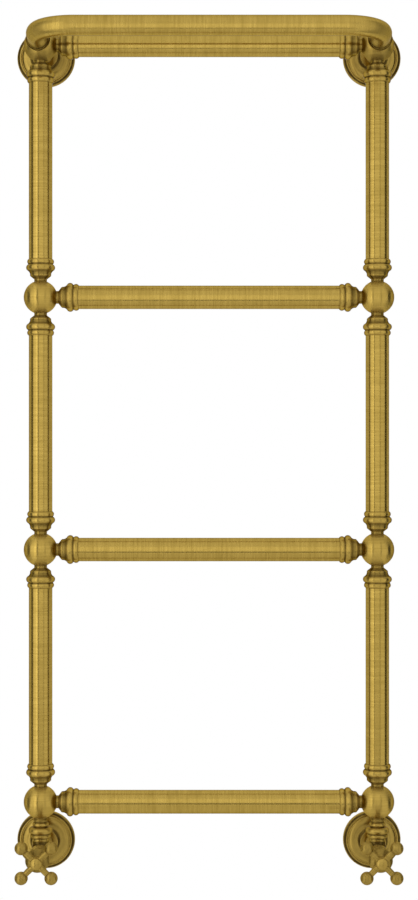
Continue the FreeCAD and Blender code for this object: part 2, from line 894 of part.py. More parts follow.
def shared_pieces():
    """Pieces that cross from side to side, and small identical pieces grouped in one node."""
    made = {}
    for level in levels:
        start = ball_centre("left", level)
        end = ball_centre("right", level)
        made[f"{level}_rail"] = tube(start, end)
        made[f"{level}_rail_collars"] = [collar(start, inward("left")), collar(end, inward("right"))]
    seals = [port_seal(*joint) for joint in wet_joints()]
    for side in SIDES:
        seals += [union_seal(side), gland_seal(side)]
        seals += [rosette_seal(side, levels["top"]), rosette_seal(side, valve_z)]
    made["joint_seals"] = seals
    made["joint_nipples"] = [joint_nipple(*joint) for joint in wet_joints()]
    made["towel_hoop"] = towel_hoop()
    made["hoop_ferrules"] = [hoop_ferrule(side) for side in SIDES]
    made["wall_plates"] = [wall_plate(side) for side in SIDES]
    made["bracket_stems"] = [bracket_stem(side) for side in SIDES]
    made["bracket_grub_screws"] = [grub_screw(side) for side in SIDES]
    made["inlet_pipes"] = [inlet_pipe(side) for side in SIDES]
    made["valve_tails"] = [valve_tail(side) for side in SIDES]
    made["union_nuts"] = [union_nut(side) for side in SIDES]
    made["bleed_plug"] = bleed_plug()
    made["bleed_screw"] = bleed_screw()
    return made


def main():
    made = {**side_pieces("left"), **side_pieces("right"), **shared_pieces()}
    made["right_top_ball"] = made["right_top_ball"].cut(bleed_port(ball_centre("right", "top")))
    os.makedirs("parts", exist_ok=True)
    for name, shape in made.items():
        if isinstance(shape, list):
            shape = Part.makeCompound(shape)
        for solid in shape.Solids:
            if not solid.isValid() or solid.Volume <= 0:
                raise ValueError(f"{name} is not a sound solid")
        shape.exportStep(f"parts/{name}.step")
    print(f"valve axis {valve_drop:.2f} mm below the bottom rail, at z {valve_z:.2f}")
    print(f"valve lift {lift:.4f} mm over {open_turns * 360:.0f} degrees")
    print(f"hub {hub_back:.2f} to {hub_front:.2f}, stub radius {stub_r:.2f}, plate radius {plate_r:.2f}")


main()
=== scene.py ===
import bmesh
import bpy
import numpy as np
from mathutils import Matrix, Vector
from numpy.lib.stride_tricks import sliding_window_view


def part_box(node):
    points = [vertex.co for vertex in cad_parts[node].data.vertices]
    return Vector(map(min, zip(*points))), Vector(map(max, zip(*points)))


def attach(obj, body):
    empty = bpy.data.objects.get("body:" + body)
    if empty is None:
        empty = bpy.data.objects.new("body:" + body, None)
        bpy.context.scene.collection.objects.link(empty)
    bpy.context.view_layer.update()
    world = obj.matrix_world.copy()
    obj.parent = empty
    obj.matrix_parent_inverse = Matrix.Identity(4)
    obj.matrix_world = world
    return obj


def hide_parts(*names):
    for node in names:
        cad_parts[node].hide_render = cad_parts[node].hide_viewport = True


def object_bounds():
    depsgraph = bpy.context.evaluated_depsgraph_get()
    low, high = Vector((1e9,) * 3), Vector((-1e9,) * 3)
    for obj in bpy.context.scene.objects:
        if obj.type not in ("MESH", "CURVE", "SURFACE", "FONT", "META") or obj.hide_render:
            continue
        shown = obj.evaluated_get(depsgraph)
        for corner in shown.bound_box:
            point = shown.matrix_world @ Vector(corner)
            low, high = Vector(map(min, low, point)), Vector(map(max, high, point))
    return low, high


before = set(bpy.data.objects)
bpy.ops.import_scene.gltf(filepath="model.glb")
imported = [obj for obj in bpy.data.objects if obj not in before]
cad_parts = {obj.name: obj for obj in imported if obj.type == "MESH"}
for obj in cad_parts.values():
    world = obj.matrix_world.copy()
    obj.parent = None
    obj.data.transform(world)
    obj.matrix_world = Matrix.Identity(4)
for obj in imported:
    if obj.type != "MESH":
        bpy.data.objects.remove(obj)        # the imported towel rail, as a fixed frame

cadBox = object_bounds()
scene = bpy.context.scene
print("frame loaded with", len(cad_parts), "nodes")

# Shapes are worked out in millimetres and become metres when their mesh is made.
metre = 1000.0
tiny = 1e-9              # a shorter step or a smaller turn counts as none
sides = {"left": -1, "right": 1}
levels = ["top", "upper", "lower", "bottom"]
postSpans = {"upper": ("top", "upper"), "middle": ("upper", "lower"), "lower": ("lower", "bottom")}
xAxis, yAxis, zAxis = np.eye(3)
forward = -yAxis         # from the wall into the room


def nodeBox(node):
    low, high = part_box(node)
    return np.array(low) * metre, np.array(high) * metre


def nodeMiddle(node):
    # To a hundredth of a millimetre
    return np.round(np.mean(nodeBox(node), axis=0), 2)


postX, postY = nodeMiddle("right_middle_post")[:2]
levelZ = {name: nodeMiddle(name + "_rail")[2] for name in levels}
valveZ = nodeMiddle("right_bonnet")[2]


def ballPlace(side, level):
    return np.array([sides[side] * postX, postY, levelZ[level]])


def valvePlace(side):
    return np.array([sides[side] * postX, postY, valveZ])


def wallPlace(side, z):
    return np.array([sides[side] * postX, 0.0, z])


# Camera at the photograph's place: level, square to the wall, a little over two metres away
camera = {"distance": 2465.0, "height": -516.9, "focal": 1864.0, "longSide": 900.0, "sensor": 36.0}


def placeCamera():
    data = bpy.data.cameras.new("camera")
    data.sensor_width = camera["sensor"]
    data.lens = camera["sensor"] * camera["focal"] / camera["longSide"]
    seen = bpy.data.objects.new("camera", data)
    seen.location = (0.0, -camera["distance"] / metre, camera["height"] / metre)
    seen.rotation_euler = (np.pi / 2, 0.0, 0.0)
    scene.collection.objects.link(seen)
    scene.camera = seen


placeCamera()
print("camera placed")

# Outlines of turned pieces. A step is (distance, radius), or (distance, radius, sag) for a round
# run that bows out by sag, or in if it is negative.
turning = {
    "grain": 0.06, "arcPoints": 49, "evenShare": 0.3, "grooveReach": 6.0, "grooveFull": 3.6,
    "besideMargin": 0.1, "spokes": 96,
}


def runningTotal(values):
    return np.concatenate([[0], np.cumsum(values)])


def addUp(start, steps):
    # Lengths along a piece, added up into distances from its base
    reached = start + np.cumsum([step[0] for step in steps])
    return [(float(at), *step[1:]) for at, step in zip(reached, steps)]


def roundRun(start, end, sag):
    # Circle's arc over a chord: sine along the chord, cosine across it, scaled to the sag
    chord = np.subtract(end, start)
    span = np.hypot(*chord)
    half = 2 * np.arctan(2 * sag / span)
    angle = np.linspace(-half, half, turning["arcPoints"])[:, None]
    along = np.sin(angle) / np.sin(half) / 2 * chord
    across = (np.cos(angle) - np.cos(half)) / (1 - np.cos(half)) * sag
    return np.add(start, end) / 2 + along + across * np.array([-chord[1], chord[0]]) / span


def arcSag(radius, chord):
    # How far a circle's arc bows out over a chord
    return radius - np.sqrt(radius**2 - chord**2 / 4)


def sharpLine(steps, closed):
    # The steps as one line, with a point at every grain of its length
    following = steps[1:] + steps[:1] if closed else steps[1:]
    runs = []
    for start, end in zip(steps, following):
        if len(end) == 3:
            runs.append(roundRun(start[:2], end[:2], end[2]))
        else:
            runs.append(np.array([start[:2], end[:2]]))
    raw = np.concatenate(runs)
    moved = np.hypot(*np.diff(raw, axis=0).T)
    raw = raw[np.concatenate([[True], moved > tiny])]
    reached = runningTotal(moved[moved > tiny])
    fine = np.linspace(0, reached[-1], int(reached[-1] / turning["grain"]) + 1)
    return np.stack([np.interp(fine, reached, raw[:, k]) for k in (0, 1)])


def softLine(line, soften, closed):
    # The same line with its corners rounded by a short moving average
    half = int(soften / turning["grain"])
    window = np.hanning(2 * half + 3)
    window = window[1:-1] / window.sum()
    if closed:
        padded = np.pad(line[:, :-1], ((0, 0), (half, half)), mode="wrap")
    else:
        padded = np.stack([
            np.pad(line[0], half, mode="reflect"),
            np.pad(line[1], half, mode="reflect", reflect_type="odd"),
        ])
    return [np.convolve(row, window, "valid") for row in padded]


def grooveDepth(radius, closed):
    # Depth under a ruler laid on the outline: greatest, then least, radius within reach, less the radius
    reach = int(turning["grooveReach"] / turning["grain"])
    top = np.pad(radius, 2 * reach, mode="wrap" if closed else "edge")
    top = sliding_window_view(top, 2 * reach + 1).max(axis=1)
    return sliding_window_view(top, 2 * reach + 1).min(axis=1) - radius


def patinaAt(places, shares):
    # Share of patina and painted shade at distances or radii, in between the (place, share) pairs given
    return np.interp(places, *zip(*shares))


def outline(steps, closed=True, soften=0.4, count=110, beside=None, patina=None):
    # A soft line through the steps, with points gathered where it turns. beside is (distance, radius) of a
    # piece that it grows out of. patina, where given, is its share of patina and painted shade at distances
    # along it.
    along, radius = softLine(sharpLine(steps, closed), soften, closed)
    shaded = radius
    if beside is not None:
        shaded = np.where(along < beside[0] + turning["besideMargin"], beside[1], radius)
    groove = np.clip(grooveDepth(shaded, closed) / turning["grooveFull"], 0, 1)
    if closed:
        along, radius, groove = (np.append(row, row[0]) for row in (along, radius, groove))
    if patina is not None:
        groove = patinaAt(along, patina)
    stepLength = np.hypot(np.diff(along), np.diff(radius))
    heading = np.unwrap(np.arctan2(np.diff(radius), np.diff(along)))
    turn = np.abs(np.diff(heading, prepend=heading[0]))
    share = turning["evenShare"]
    weight = share * stepLength / stepLength.sum() + (1 - share) * turn / max(turn.sum(), tiny)
    place = runningTotal(weight)
    wanted = np.linspace(0, place[-1], count, endpoint=not closed)
    spot = np.interp(wanted, place, np.arange(len(place)))
    length = runningTotal(stepLength)
    picked = [np.interp(spot, np.arange(len(place)), row) for row in (along, radius, groove, length)]
    return {
        "along": picked[0], "radius": np.maximum(picked[1], 0), "groove": picked[2], "length": picked[3],
        "whole": length[-1], "closed": closed,
    }


def turnAngles(count):
    return np.linspace(0, 2 * np.pi, count, endpoint=False)


def around(axis, segments):
    # Unit spokes about an axis, starting towards the wall, or downwards on an axis that runs to the wall
    first = yAxis if abs(axis @ yAxis) < 0.5 else -zAxis
    first = first - (first @ axis) * axis
    first = first / np.linalg.norm(first)
    angle = turnAngles(segments)[:, None]
    return np.cos(angle) * first + np.sin(angle) * np.cross(axis, first)


def turned(line, base, axis, segments=turning["spokes"]):
    # Ring k is base + along[k] * axis + radius[k] * spoke
    spokes = around(axis, segments)
    rings = base + line["along"][:, None, None] * axis + line["radius"][:, None, None] * spokes
    return {**line, "points": rings}


def gridFaces(rows, columns, closed):
    # Quads of a grid that wraps round in its columns and, where closed, in its rows
    row, column = np.meshgrid(np.arange(rows if closed else rows - 1), np.arange(columns), indexing="ij")
    nextRow = (row + 1) % rows
    nextColumn = (column + 1) % columns
    corners = [(row, column), (row, nextColumn), (nextRow, nextColumn), (nextRow, column)]
    faces = np.stack([r * columns + c for r, c in corners], axis=-1).reshape(-1, 4)
    return faces, row.ravel(), column.ravel()


def grainNormals(shell):
    # Unit direction square to the brush lines: along the outline on a piece brushed round its axis, or
    # surface normal cross X on one brushed straight across
    points = shell["points"]
    along = np.roll(points, -1, 0) - np.roll(points, 1, 0) if shell["closed"] else np.gradient(points, axis=0)
    if shell.get("across"):
        normal = np.cross(along, np.roll(points, -1, 1) - np.roll(points, 1, 1))
        along = np.cross(normal, xAxis)
    return along / np.maximum(np.linalg.norm(along, axis=-1, keepdims=True), tiny)


def shellMesh(shell, grainStart):
    # Points, outward quads, corner grain coordinates (metres along the outline, share of a turn), groove
    # shares of patina and painted shade, and directions square to the brush lines
    rows, columns = shell["points"].shape[:2]
    faces, row, column = gridFaces(rows, columns, shell["closed"])
    points = shell["points"].reshape(-1, 3) / metre
    length = np.append(shell["length"], shell["whole"]) / metre + grainStart
    early, late = length[row], length[row + 1]
    start, end = column / columns, (column + 1) / columns
    corners = [(early, start), (early, end), (late, end), (late, start)]
    grain = np.stack([np.stack(corner, axis=-1) for corner in corners], axis=1)
    first, second, third, fourth = (points[faces[:, k]] for k in range(4))
    volume = np.sum(first * (np.cross(second, third) + np.cross(third, fourth)))
    if volume < 0:
        faces, grain = faces[:, ::-1], grain[:, ::-1]
    groove = np.broadcast_to(shell["groove"].reshape(rows, -1), (rows, columns)).ravel()
    return points, faces, grain, groove, grainNormals(shell).reshape(-1, 3)


pieces = {}
meshing = {"pieceShift": 0.371, "shellShift": 0.097, "weld": 1e-7}    # shifts keep the grain of shells apart


def closePoles(mesh):
    # The ring of zero radius at a pole becomes one point
    shape = bmesh.new()
    shape.from_mesh(mesh)
    bmesh.ops.remove_doubles(shape, verts=shape.verts, dist=meshing["weld"])
    bmesh.ops.dissolve_degenerate(shape, dist=tiny, edges=shape.edges)
    shape.to_mesh(mesh)
    shape.free()


def addPiece(name, shells, finish, body="rail_frame"):
    # One mesh from several closed shells, riding on its body in place of the solids that it stands for
    grainStarts = meshing["pieceShift"] * len(pieces) + meshing["shellShift"] * np.arange(len(shells))
    made = [shellMesh(shell, start) for shell, start in zip(shells, grainStarts)]
    counts = runningTotal([len(shell[0]) for shell in made])
    faces = np.concatenate([shell[1] + count for shell, count in zip(made, counts)])
    points, grain, groove, brush = (np.concatenate([shell[k] for shell in made]) for k in (0, 2, 3, 4))
    mesh = bpy.data.meshes.new(name)
    mesh.from_pydata(points.tolist(), [], faces.tolist())
    mesh.uv_layers.new(name="turn").data.foreach_set("uv", grain.astype(np.float32).ravel())
    grooves = mesh.attributes.new("groove", "FLOAT", "POINT")
    grooves.data.foreach_set("value", groove.astype(np.float32))
    brushes = mesh.attributes.new("brush", "FLOAT_VECTOR", "POINT")
    brushes.data.foreach_set("vector", brush.astype(np.float32).ravel())
    closePoles(mesh)
    mesh.polygons.foreach_set("use_smooth", np.ones(len(mesh.polygons), bool))
    mesh.materials.append(finish)
    piece = bpy.data.objects.new(name + "_look", mesh)
    scene.collection.objects.link(piece)
    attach(piece, body)
    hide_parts(name)
    pieces[name] = piece
    return piece


# Shader helpers and the shared effects
streakLook = {"fine": (0.4, 4.0), "broad": (0.3, 2.0), "fineShare": 0.75, "rough": 0.7, "range": (0.37, 0.63)}
unevenLook = {"scale": 90.0, "detail": 3.0, "rough": 0.55, "range": (0.3, 0.7), "share": (0.65, 1.1)}


def setSockets(tree, node, sockets):
    for key, value in sockets.items():
        if isinstance(value, bpy.types.NodeSocket):
            tree.links.new(value, node.inputs[key])
        else:
            node.inputs[key].default_value = value


def addNode(tree, kind, sockets=None, **settings):
    made = tree.nodes.new(kind)
    for key, value in settings.items():
        setattr(made, key, value)
    setSockets(tree, made, sockets or {})
    return made


def sumUp(tree, operation, first, second=0.0, third=0.0):
    sockets = {0: first, 1: second, 2: third}
    return addNode(tree, "ShaderNodeMath", sockets, operation=operation).outputs[0]


def mixColours(tree, share, first, second):
    return addNode(tree, "ShaderNodeMix", {0: share, 6: first, 7: second}, data_type="RGBA").outputs[2]


def mapRange(tree, value, given, wanted, **settings):
    sockets = {0: value, 1: given[0], 2: given[1], 3: wanted[0], 4: wanted[1]}
    return addNode(tree, "ShaderNodeMapRange", sockets, **settings).outputs[0]


def addNoise(tree, place, scale, detail, rough):
    sockets = {"Vector": place, "Scale": scale, "Detail": detail, "Roughness": rough}
    return addNode(tree, "ShaderNodeTexNoise", sockets).outputs[0]


def newGroup(name, inputs, outputs):
    group = bpy.data.node_groups.new(name, "ShaderNodeTree")
    for way, sockets in (("INPUT", inputs), ("OUTPUT", outputs)):
        for socket, kind in sockets.items():
            group.interface.new_socket(socket, in_out=way, socket_type="NodeSocket" + kind)
    return group, group.nodes.new("NodeGroupInput").outputs, group.nodes.new("NodeGroupOutput").inputs


def newFinish(name):
    finish = bpy.data.materials.new(name)
    finish.use_nodes = True
    return finish, finish.node_tree, finish.node_tree.nodes["Principled BSDF"]


def streakGroup():
    # Brush lines that run round a piece: noise stretched about the turn and fine along the outline
    inputs = {"Grain": "Vector", "Fine": "Float", "Broad": "Float"}
    group, given, result = newGroup("brushStreaks", inputs, {"Streak": "Float", "Height": "Float"})
    split = addNode(group, "ShaderNodeSeparateXYZ", {0: given["Grain"]})
    angle = sumUp(group, "MULTIPLY", split.outputs[1], 2 * np.pi)
    cosine = sumUp(group, "COSINE", angle)
    sine = sumUp(group, "SINE", angle)

    def lines(density, sweep, detail):
        place = addNode(group, "ShaderNodeCombineXYZ", {
            0: sumUp(group, "MULTIPLY", split.outputs[0], density),
            1: sumUp(group, "MULTIPLY", cosine, sweep),
            2: sumUp(group, "MULTIPLY", sine, sweep),
        })
        return addNoise(group, place.outputs[0], 1.0, detail, streakLook["rough"])

    fine = lines(given["Fine"], *streakLook["fine"])
    broad = lines(given["Broad"], *streakLook["broad"])
    fineShare = streakLook["fineShare"]
    mixed = sumUp(group, "ADD", sumUp(group, "MULTIPLY", fine, fineShare),
                  sumUp(group, "MULTIPLY", broad, 1 - fineShare))
    group.links.new(mapRange(group, mixed, streakLook["range"], (0.0, 1.0)), result["Streak"])
    group.links.new(fine, result["Height"])
    return group


def patinaAndShadeGroup():
    # Brown patina that stays where a polishing wheel doesn't reach, and painted shade where a piece's groove
    # share carries it, broken up by a soft noise
    inputs = {"Color": "Color", "Groove": "Float", "Patina": "Color", "Amount": "Float", "Place": "Vector"}
    group, given, result = newGroup("patinaAndShade", inputs, {"Color": "Color", "Dull": "Float"})
    noise = addNoise(group, given["Place"], unevenLook["scale"], unevenLook["detail"], unevenLook["rough"])
    uneven = mapRange(group, noise, unevenLook["range"], unevenLook["share"])
    mask = sumUp(group, "MULTIPLY", sumUp(group, "MULTIPLY", given["Groove"], given["Amount"]), uneven)
    group.links.new(mixColours(group, mask, given["Color"], given["Patina"]), result["Color"])
    group.links.new(mask, result["Dull"])
    return group


brushStreaks = streakGroup()
patinaAndShade = patinaAndShadeGroup()

# patina is the colour that a piece's groove share mixes in: patina in its hollows, and painted shade where
# that share carries it
tubeLook = {
    "light": (0.508, 0.350, 0.079), "deep": (0.398, 0.268, 0.054), "patina": (0.12, 0.072, 0.015),
    "amount": 0.6, "fine": 620.0, "broad": 70.0, "rough": 0.29, "roughSpread": 0.04, "dullness": 0.15,
    "anisotropy": 0.92, "bump": 0.10, "depth": 0.00004, "edge": (0.50, 0.47, 0.40),
}
turnedLook = {
    "light": (0.530, 0.364, 0.082), "deep": (0.456, 0.308, 0.063), "patina": (0.08, 0.048, 0.011),
    "amount": 1.0, "fine": 700.0, "broad": 160.0, "rough": 0.33, "roughSpread": 0.04, "dullness": 0.15,
    "anisotropy": 1.0, "bump": 0.06, "depth": 0.00003, "edge": (0.32, 0.29, 0.31),
}
rosetteLook = {**turnedLook, "edge": (0.62, 0.57, 0.47)}
# Union: light and deep colours darker than turnedLook's, painted shade for the tail and nut under the ball;
# also rougher and less brushed
shadedUnionLook = {
    **turnedLook, "light": (0.490, 0.336, 0.076), "deep": (0.410, 0.274, 0.056), "rough": 0.42,
    "anisotropy": 0.7,
}
handleLook = {**turnedLook, "light": (0.470, 0.322, 0.073), "deep": (0.392, 0.262, 0.054), "bump": 0.05}
hubLook = {**handleLook, "rough": 0.36, "anisotropy": 0.9, "edge": (0.66, 0.60, 0.48)}


def brassFinish(name, look):
    # Antique brass, brushed round the piece, with patina left in its grooves and painted shade where the
    # groove share carries it; edge is what it keeps of its shine at a glancing angle
    finish, tree, shader = newFinish(name)
    grain = addNode(tree, "ShaderNodeUVMap", uv_map="turn")
    place = addNode(tree, "ShaderNodeTexCoord")
    groove = addNode(tree, "ShaderNodeAttribute", attribute_name="groove")
    brush = addNode(tree, "ShaderNodeAttribute", attribute_name="brush")
    streaks = addNode(tree, "ShaderNodeGroup", {
        "Grain": grain.outputs[0], "Fine": look["fine"], "Broad": look["broad"],
    }, node_tree=brushStreaks)
    streak = streaks.outputs["Streak"]
    patina = addNode(tree, "ShaderNodeGroup", {
        "Color": mixColours(tree, streak, (*look["deep"], 1), (*look["light"], 1)),
        "Groove": groove.outputs["Fac"], "Patina": (*look["patina"], 1), "Amount": look["amount"],
        "Place": place.outputs["Object"],
    }, node_tree=patinaAndShade)
    roughEnds = (look["rough"] + look["roughSpread"], look["rough"] - look["roughSpread"])
    streakRough = mapRange(tree, streak, (0.0, 1.0), roughEnds)
    bump = addNode(tree, "ShaderNodeBump", {
        "Strength": look["bump"], "Distance": look["depth"], "Height": streaks.outputs["Height"],
    })
    tangent = addNode(tree, "ShaderNodeVectorTransform", {0: brush.outputs["Vector"]}, vector_type="VECTOR",
                      convert_from="OBJECT", convert_to="WORLD")
    setSockets(tree, shader, {
        "Base Color": patina.outputs["Color"],
        "Roughness": sumUp(tree, "MULTIPLY_ADD", patina.outputs["Dull"], look["dullness"], streakRough),
        "Normal": bump.outputs[0], "Tangent": tangent.outputs[0], "Metallic": 1.0,
        "Anisotropic": look["anisotropy"], "Specular Tint": (*look["edge"], 1),
    })
    return finish


brushedTube = brassFinish("brushedTube", tubeLook)
turnedBrass = brassFinish("turnedBrass", turnedLook)
rosetteBrass = brassFinish("rosetteBrass", rosetteLook)
shadedUnionBrass = brassFinish("shadedUnionBrass", shadedUnionLook)
handleBrass = brassFinish("handleBrass", handleLook)
hubBrass = brassFinish("hubBrass", hubLook)

innerLook = {"scale": 420.0, "detail": 5.0, "rough": 0.6, "bump": 0.1, "depth": 0.00004}


def innerFinish(name, dark, light, metal, rough):
    # Plain stock of the hidden pieces: two shades and two roughnesses, mixed by a fine noise
    finish, tree, shader = newFinish(name)
    place = addNode(tree, "ShaderNodeTexCoord").outputs["Object"]
    noise = addNoise(tree, place, innerLook["scale"], innerLook["detail"], innerLook["rough"])
    bump = addNode(tree, "ShaderNodeBump", {
        "Strength": innerLook["bump"], "Distance": innerLook["depth"], "Height": noise,
    })
    setSockets(tree, shader, {
        "Base Color": mixColours(tree, noise, (*dark, 1), (*light, 1)),
        "Roughness": mapRange(tree, noise, (0.0, 1.0), rough),
        "Normal": bump.outputs[0], "Metallic": metal,
    })
    return finish


plainBrass = innerFinish("plainBrass", (0.48, 0.34, 0.11), (0.62, 0.46, 0.17), 1.0, (0.24, 0.38))
sealRubber = innerFinish("sealRubber", (0.014, 0.014, 0.015), (0.030, 0.030, 0.031), 0.0, (0.6, 0.8))
screwSteel = innerFinish("screwSteel", (0.36, 0.36, 0.38), (0.55, 0.55, 0.56), 1.0, (0.25, 0.42))
print("finishes made")

# Post and rail tubes
tube = {"radius": 15.0, "wall": 1.5, "soften": 0.15, "rings": 48, "spokes": 128}


def tubeShell(node, axis):
    low, high = nodeBox(node)
    along = int(np.argmax(axis))
    start, end = low[along], high[along]
    outer = tube["radius"]
    inner = outer - tube["wall"]
    steps = [(start, outer), (end, outer), (end, inner), (start, inner)]
    line = outline(steps, soften=tube["soften"], count=tube["rings"])
    return turned(line, nodeMiddle(node) * (1 - axis), axis, tube["spokes"])


for side in sides:
    for span in postSpans:
        node = f"{side}_{span}_post"
        addPiece(node, [tubeShell(node, zAxis)], brushedTube)
for level in levels:
    node = f"{level}_rail"
    addPiece(node, [tubeShell(node, xAxis)], brushedTube)
print("tubes made")

# Balls and the turned collars between balls and tubes
ball = {
    "radius": 21.5, "bleedFlat": 20.46, "rings": 64,
    # Share of painted shade on the top balls under the hoop, darker towards their bottom, by height from the
    # ball's middle
    "topPaintedShade": [(-17, 0.5), (-12, 0.3), (-6, 0.1), (22, 0.05)],
}
collar = {
    "seat": 19.916, "neck": 8.1, "neckLength": 3.0, "flare": 12.5, "flareLength": 3.5, "cup": 13.5,
    "cupLength": 1.9, "cupSag": 0.25, "stepLength": 1.4, "groove": 15.9, "coveLength": 4.0, "coveSag": -0.4,
    "bead": 2.6, "beadLength": 8.2, "gapLength": 0.5, "ring": 1.65, "ringLength": 6.5, "spigot": 13.4,
    "spigotLength": 12.0, "bore": 6.68, "boreLength": 10.0, "water": 4.8, "rings": 150,
    # Patina share along the collar: patina in the cove and in the groove between bead and ring, patina and
    # painted shade on the neck beside the ball, and painted shade on the flare that faces the ball
    "patina": [(20, 0.7), (21, 0.55), (22.3, 0.3), (23.2, 0.45), (24.5, 0.8), (26.3, 0.7), (27, 0.2),
               (28, 0.2), (29, 0.5), (31, 0.5), (32.2, 0.7), (33.8, 0.65), (34.8, 0.05), (40.6, 0),
               (41.8, 0.75), (42.6, 0.75), (43.4, 0), (47.8, 0), (48.8, 0.4)],
}


def ballShell(side, level):
    radius = ball["radius"]
    if (side, level) == ("right", "top"):    # flat under the air bleed
        flat = ball["bleedFlat"]
        edge = np.sqrt(radius**2 - flat**2)
        chord = np.hypot(radius + flat, edge)
        steps = [(-radius, 0), (flat, edge, arcSag(radius, chord)), (flat, 0)]
    else:
        steps = [(-radius, 0), (radius, 0, radius)]
    line = outline(steps, closed=False, count=ball["rings"])
    if level == "top":    # painted shade under the hoop, darker towards the bottom
        line["groove"] = patinaAt(line["along"], ball["topPaintedShade"])
    return {**turned(line, ballPlace(side, level), zAxis), "across": True}


def nippleBore():
    # The way back inside a piece on a ball: water passage, then the wider bore for the nipple
    floor = collar["boreLength"] + collar["seat"]
    return [(floor, collar["water"]), (floor, collar["bore"]), (collar["seat"], collar["bore"])]


def collarLine():
    sizes = collar
    groove = sizes["groove"]
    outer = [
        (0.0, sizes["neck"]), (sizes["neckLength"], sizes["neck"]), (sizes["flareLength"], sizes["flare"]),
        (sizes["cupLength"], sizes["cup"], sizes["cupSag"]), (sizes["stepLength"], sizes["cup"]),
        (sizes["coveLength"], groove, sizes["coveSag"]), (sizes["beadLength"], groove, sizes["bead"]),
        (sizes["gapLength"], groove), (sizes["ringLength"], tube["radius"], sizes["ring"]),
        (0.0, sizes["spigot"]), (sizes["spigotLength"], sizes["spigot"]), (0.0, sizes["water"]),
    ]
    steps = addUp(sizes["seat"], outer) + nippleBore()
    return outline(steps, soften=0.35, count=sizes["rings"], patina=sizes["patina"])


collarOutline = collarLine()
for side in sides:
    for level in levels:
        node = f"{side}_{level}_ball"
        addPiece(node, [ballShell(side, level)], turnedBrass)
    for span, (above, below) in postSpans.items():
        shells = [turned(collarOutline, ballPlace(side, above), -zAxis),
                  turned(collarOutline, ballPlace(side, below), zAxis)]
        addPiece(f"{side}_{span}_post_collars", shells, turnedBrass)
for level in levels:
    shells = [turned(collarOutline, ballPlace(side, level), -sides[side] * xAxis) for side in sides]
    addPiece(f"{level}_rail_collars", shells, turnedBrass)
print("balls and collars made")

# Towel hoop, a tube carried along three straight runs and two bends, and the ferrules at its ends
hoop = {
    "radius": 12.5, "wall": 1.5, "bend": 50.0, "bendPoints": 40, "legPoints": 12, "spokes": 96,
    "paintedEndShade": 18.0,
}
ferrule = {
    "neckLength": 3.0, "bowlLength": 14.0, "bowlSag": 1.6, "rim": 15.3, "rimLength": 3.0, "recess": 14.2,
    "recessLength": 2.5, "spigot": 10.9, "spigotLength": 6.0,
    # Share along the ferrule: painted shade on the neck beside the ball, fading over the bowl; full in the
    # recess round the hoop's end, patina and painted shade there
    "patina": [(20, 0.9), (23, 0.7), (27, 0.3), (35, 0.2), (38, 0.1), (39.2, 0.1), (39.4, 1), (44, 1)],
}


def hoopPath():
    # Forward, a quarter turn, across, a quarter turn and back: corner + bend * (cosine, sine)
    low, high = nodeBox("towel_hoop")
    bend = hoop["bend"]
    front = low[1] + hoop["radius"]
    angle = np.linspace(0, np.pi / 2, hoop["bendPoints"])
    inner = postX - bend
    left = np.stack([-inner - bend * np.cos(angle), front + bend - bend * np.sin(angle)], axis=1)
    right = np.stack([inner + bend * np.sin(angle), front + bend - bend * np.cos(angle)], axis=1)
    start = np.linspace(high[1], front + bend, hoop["legPoints"], endpoint=False)
    legs = [np.stack([np.full_like(start, x), start], axis=1) for x in (-postX, postX)]
    flat = np.concatenate([legs[0], left, right, legs[1][::-1]])
    return np.column_stack([flat, np.full(len(flat), levelZ["top"])])


def hoopShell():
    # Ring k is path[k] + radius[k] * (cosine * side + sine * up); the inner wall runs back along the path
    path = hoopPath()
    heading = np.gradient(path, axis=0)
    heading[[0, -1]] = forward, -forward
    heading = heading / np.linalg.norm(heading, axis=1, keepdims=True)
    side = np.cross(zAxis, heading)
    angle = turnAngles(hoop["spokes"])[None, :, None]
    spokes = np.cos(angle) * side[:, None] + np.sin(angle) * zAxis
    outer = path[:, None] + hoop["radius"] * spokes
    inner = path[:, None] + (hoop["radius"] - hoop["wall"]) * spokes
    points = np.concatenate([outer, inner[::-1]])
    step = np.linalg.norm(np.diff(np.concatenate([path, path[::-1]]), axis=0), axis=1)
    length = runningTotal(step)
    # Painted shade on the hoop's legs: darkest at their ends in the ferrules, fading out along them
    fromEnd = nodeBox("towel_hoop")[1][1] - points[:, 0, 1]
    groove = np.clip(1 - fromEnd / hoop["paintedEndShade"], 0, 1)
    whole = length[-1] + hoop["wall"]
    return {"points": points, "length": length, "whole": whole, "closed": True, "groove": groove}


def ferruleShell(side):
    sizes = ferrule
    outer = [
        (0.0, collar["neck"]), (sizes["neckLength"], collar["neck"]),
        (sizes["bowlLength"], sizes["rim"], sizes["bowlSag"]), (sizes["rimLength"], sizes["rim"]),
        (0.0, sizes["recess"]), (-sizes["recessLength"], sizes["recess"]), (0.0, sizes["spigot"]),
        (sizes["spigotLength"], sizes["spigot"]), (0.0, collar["water"]),
    ]
    line = outline(addUp(collar["seat"], outer) + nippleBore(), soften=0.3, patina=sizes["patina"])
    return turned(line, ballPlace(side, "top"), forward)


addPiece("towel_hoop", [hoopShell()], brushedTube)
addPiece("hoop_ferrules", [ferruleShell(side) for side in sides], turnedBrass)
print("hoop made")

